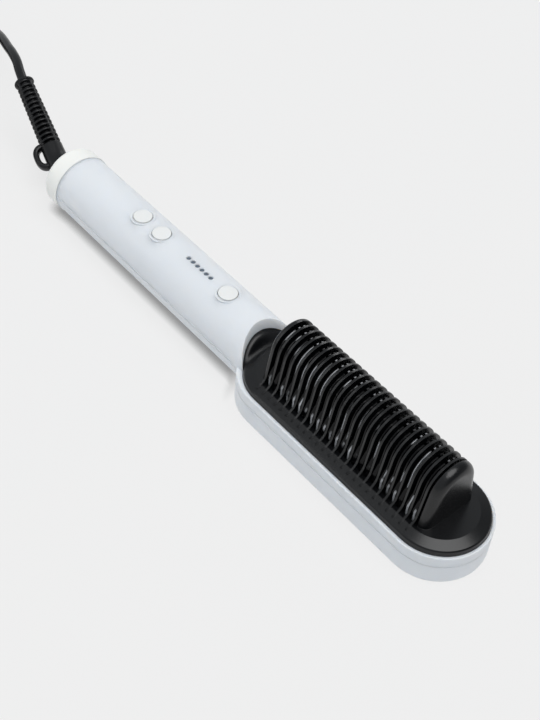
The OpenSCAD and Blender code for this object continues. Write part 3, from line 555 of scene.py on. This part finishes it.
BACKGROUND = srgb(239, 239, 239)
FLOOR_COLOUR = srgb(226, 226, 226)
FLOOR_HALF_M = 4.0
HEAD_FROM_X = (-12.0, 12.0)     # the floor beside the handle ends, beside the head starts
GLOW_SHARE = (0.84, 0.92)       # share of the plain background there
# painted shadow on the floor's glow: reach and samples of the ambient occlusion, and how
# dark it makes the glow
SHADE_REACH, SHADE_SAMPLES = 6.2, 10
SHADE_FROM, SHADE_LOWEST = (0.38, 0.95), 0.3

ROOM_COLOUR = (0.93, 0.97, 1.0, 1)
ROOM_LIGHT, ROOM_DIM = 0.585, 0.26
DIM_TOWARD, DIM_FROM = (0.75, 0.62, 0.2), (0.1, 0.85)

COMB_MIDDLE_M = (0.07, 0.0, 0.035)
STRIP_DISTANCE_M = 1.5


def shown_directly(nt):
    """1 for what the camera sees straight, in a reflection or through glass."""
    rays = add_node(nt, "LightPath").outputs
    seen = add_math(nt, "MAXIMUM", rays["Is Camera Ray"], rays["Is Glossy Ray"])
    return add_math(nt, "MAXIMUM", seen, rays["Is Transmission Ray"])


def floor_material():
    """Plain background for the camera, with a share of the real floor's shadow and,
    beside the handle, a painted shadow made from ambient occlusion.
    """
    m = bpy.data.materials.new("floor")
    nt = empty_tree(m)
    x = add_node(nt, "SeparateXYZ", {0: object_place(nt)}).outputs["X"]
    # 0 beside the handle, 1 beside the head
    head = add_range(nt, x, HEAD_FROM_X[0] * MM, HEAD_FROM_X[1] * MM, smooth=True)
    # painted shadow: beside the handle the background's glow is darkened by ambient
    # occlusion from the handle's underside, which is clear of the floor; beside the head
    # it is left out
    near = add_node(nt, "AmbientOcclusion", {"Distance": SHADE_REACH * MM},
                    samples=SHADE_SAMPLES)
    shade = add_range(nt, near.outputs["AO"], *SHADE_FROM, SHADE_LOWEST)
    glow = add_node(nt, "Emission", {
        "Color": BACKGROUND, "Strength": add_math(nt, "MAXIMUM", shade, head)})
    matt = add_node(nt, "BsdfDiffuse", {"Color": FLOOR_COLOUR})
    share = add_math(nt, "MULTIPLY", shown_directly(nt),
                     add_range(nt, head, 0.0, 1.0, *GLOW_SHARE))
    both = add_node(nt, "MixShader", {0: share, 1: matt.outputs[0], 2: glow.outputs[0]})
    add_node(nt, "OutputMaterial", {0: both.outputs[0]})
    return m


def add_floor():
    me = bpy.data.meshes.new("floor")
    s = FLOOR_HALF_M
    me.from_pydata([(-s, -s, 0), (s, -s, 0), (s, s, 0), (-s, s, 0)], [],
                   [(0, 1, 2, 3)])
    obj = bpy.data.objects.new("floor", me)
    scene.collection.objects.link(obj)
    me.materials.append(floor_material())


def add_sun(name, toward, strength, angle):
    li = bpy.data.lights.new(name, "SUN")
    li.energy = strength
    li.angle = math.radians(angle)
    obj = bpy.data.objects.new(name, li)
    d = Vector(toward).normalized()
    obj.rotation_euler = d.to_track_quat("Z", "Y").to_euler()
    scene.collection.objects.link(obj)


def add_strip(name, toward, along, size, power):
    """A long narrow panel in one direction from the middle of the comb."""
    li = bpy.data.lights.new(name, "AREA")
    li.shape = "RECTANGLE"
    li.size, li.size_y = size
    li.energy = power
    obj = bpy.data.objects.new(name, li)
    z = Vector(toward).normalized()
    y = Vector(along)
    y = (y - z * y.dot(z)).normalized()
    m = Matrix((y.cross(z), y, z)).transposed().to_4x4()
    m.translation = Vector(COMB_MIDDLE_M) + z * STRIP_DISTANCE_M
    obj.matrix_world = m
    scene.collection.objects.link(obj)


def add_world():
    w = bpy.data.worlds.new("studio")
    scene.world = w
    nt = empty_tree(w)
    # the far right of the room is dimmer, which the black parts mirror
    way = add_node(nt, "VectorMath", {
        0: add_node(nt, "TexCoord").outputs["Generated"], 1: DIM_TOWARD},
        operation="DOT_PRODUCT")
    light = add_range(nt, way.outputs["Value"], *DIM_FROM, ROOM_LIGHT, ROOM_DIM,
                      smooth=True)
    room = add_node(nt, "Background", {"Color": ROOM_COLOUR, "Strength": light})
    plain = add_node(nt, "Background", {"Color": BACKGROUND, "Strength": 1.0})
    both = add_node(nt, "MixShader", {
        0: add_node(nt, "LightPath").outputs["Is Camera Ray"],
        1: room.outputs[0], 2: plain.outputs[0]})
    add_node(nt, "OutputWorld", {0: both.outputs[0]})


add_floor()
add_sun("key", toward=(0.30, 0.04, 1.0), strength=1.88, angle=50)
add_strip("left", toward=(-0.48, -0.6, 0.6), along=(0, 0.617, 0.794),
          size=(0.07, 2.0), power=1.8)
add_strip("right", toward=(-0.48, 0.76, 0.44), along=(0, -0.5, 0.866),
          size=(0.08, 0.7), power=1.0)
add_world()
scene.view_settings.view_transform = "Standard"
